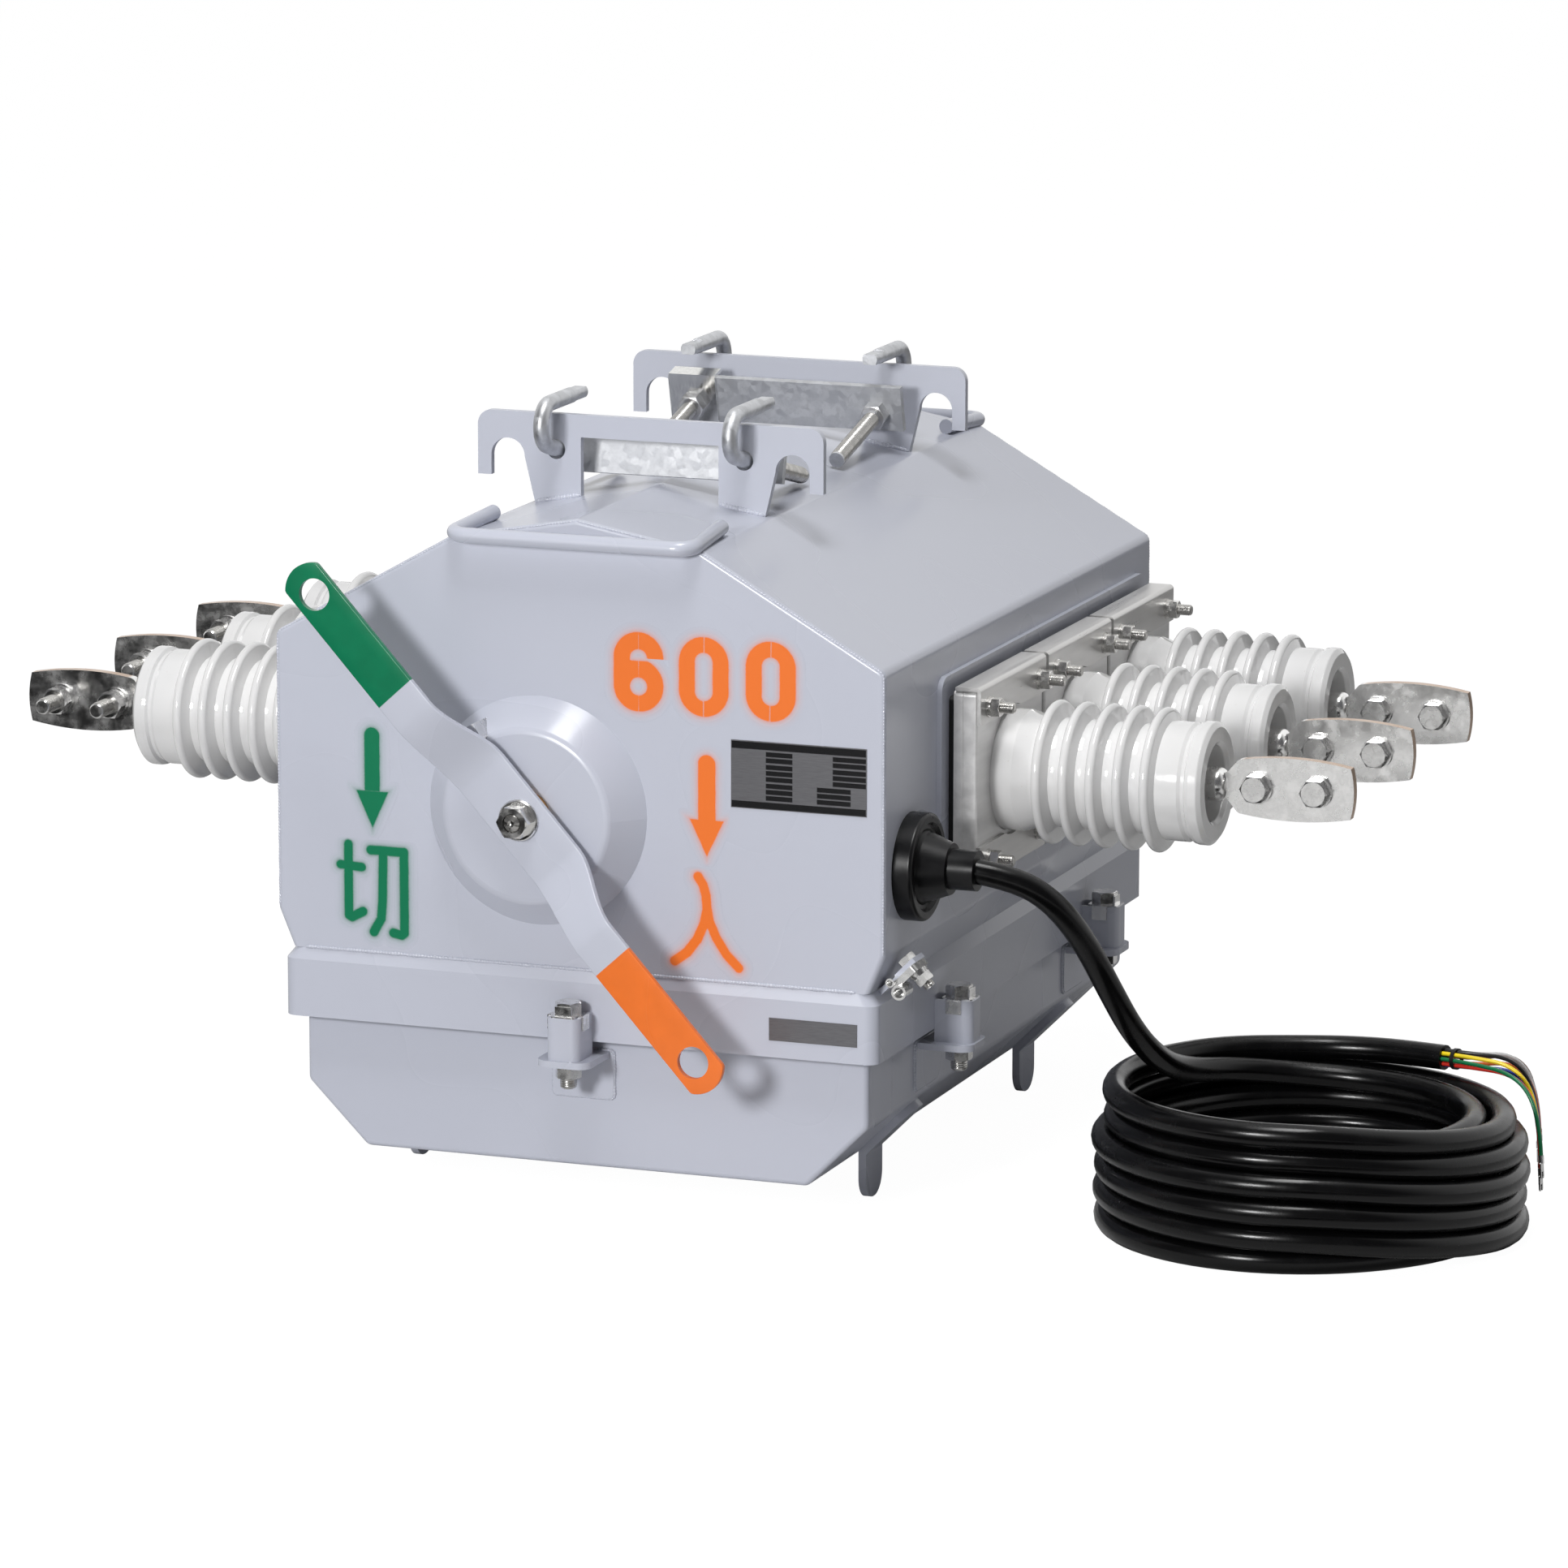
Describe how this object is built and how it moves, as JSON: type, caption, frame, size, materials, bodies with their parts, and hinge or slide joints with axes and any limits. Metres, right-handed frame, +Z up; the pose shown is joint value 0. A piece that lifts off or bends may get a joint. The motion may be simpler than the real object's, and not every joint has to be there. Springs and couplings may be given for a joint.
{
  "type": "pole air switch",
  "caption": "Pole-top air load-break switch: gabled steel case, ribbed porcelain bushings with flat palms on both sides, cranked operating lever, roof hangers and coiled control cable.",
  "frame": {"origin": "on the floor under the middle of the switch without its cable", "axes": "+X towards the right-hand bushings, where the cable leaves; +Y from the operating lever to the back; +Z up"},
  "size_m": [1.2143, 0.722, 0.5905],
  "materials": {
    "case_paint": "gloss paint",
    "porcelain": "gloss glaze",
    "stainless": "pale satin",
    "galvanised": "hot-dip galvanised",
    "bright_steel": "polished",
    "bright_thread": "oiled thread",
    "tinned_copper": "tinned, satin",
    "copper": "bare copper",
    "brass": "turned brass",
    "lever_paint": "gloss paint",
    "dark_steel": "dark zinc",
    "seal_rubber": "matt rubber",
    "cable_rubber": "glossy sheath",
    "gland_rubber": "moulded rubber",
    "core_plastic": "coloured insulation",
    "inner_plastic": "moulded resin"
  },
  "bodies": {
    "housing": {"lid": "case_paint", "tank": "case_paint", "legs": "case_paint", "hanger_plate_front": "case_paint", "hanger_plate_rear": "case_paint", "carrying_rods": "case_paint", "clamp_loops": "case_paint", "tank_lugs": "case_paint", "case_seal": "seal_rubber", "tab_washers": "bright_steel", "clamp_bolts": "bright_steel", "clamp_nuts": "bright_steel", "shaft_bush": "brass", "stop_block": "dark_steel", "fixed_contacts": "copper", "arc_chutes": "inner_plastic", "bearing_hangers": "dark_steel", "current_transformer": "inner_plastic", "bushing_seals": "seal_rubber", "flange_back_plates": "stainless", "flange_front_plates": "stainless", "retaining_strips": "stainless", "flange_studs": "bright_thread", "flange_washers": "bright_steel", "flange_nuts": "bright_steel", "terminal_bolts": "bright_steel", "terminal_nuts": "bright_steel", "terminal_washers": "bright_steel", "hook_bolts": "galvanised", "hook_nuts": "galvanised", "clamp_bars": "galvanised", "bar_saddle": "bright_steel", "cable_gland": "gland_rubber", "cable": "cable_rubber", "cable_coil": "cable_rubber", "cable_tail": "cable_rubber", "core_wires": "core_plastic", "core_tie": "cable_rubber", "core_lugs": "tinned_copper", "earth_lugs": "tinned_copper", "earth_fasteners": "bright_steel", "bushing_left_1": "porcelain", "terminal_left_1": "tinned_copper", "bushing_left_2": "porcelain", "terminal_left_2": "tinned_copper", "bushing_left_3": "porcelain", "terminal_left_3": "tinned_copper", "bushing_right_1": "porcelain", "terminal_right_1": "tinned_copper", "bushing_right_2": "porcelain", "terminal_right_2": "tinned_copper", "bushing_right_3": "porcelain", "terminal_right_3": "tinned_copper"},
    "handle": {"operating_lever": "lever_paint", "operating_shaft": "dark_steel", "lever_nut": "bright_steel"},
    "link": {"drive_link": "dark_steel"},
    "rotor": {"rotor": "inner_plastic", "moving_blades": "copper"}
  },
  "joints": [
    {"name": "lever_turn", "type": "hinge", "parent": "housing", "child": "handle", "pos_m": [-0.0305, 0, 0.3045], "axis": [0, -1, 0], "range_deg": [0, 96]},
    {"name": "rotor_turn", "type": "hinge", "parent": "housing", "child": "rotor", "pos_m": [0, 0, 0.32], "axis": [0, -1, 0], "range_deg": [0, 96]},
    {"name": "link_turn", "type": "hinge", "parent": "handle", "child": "link", "pos_m": [-0.01616, 0, 0.34184], "axis": [0, -1, 0], "range_deg": [-96, 0]}
  ],
  "couplings": [
    {"joint": "rotor_turn", "follows": "lever_turn", "ratio": 1},
    {"joint": "link_turn", "follows": "lever_turn", "ratio": -1}
  ]
}
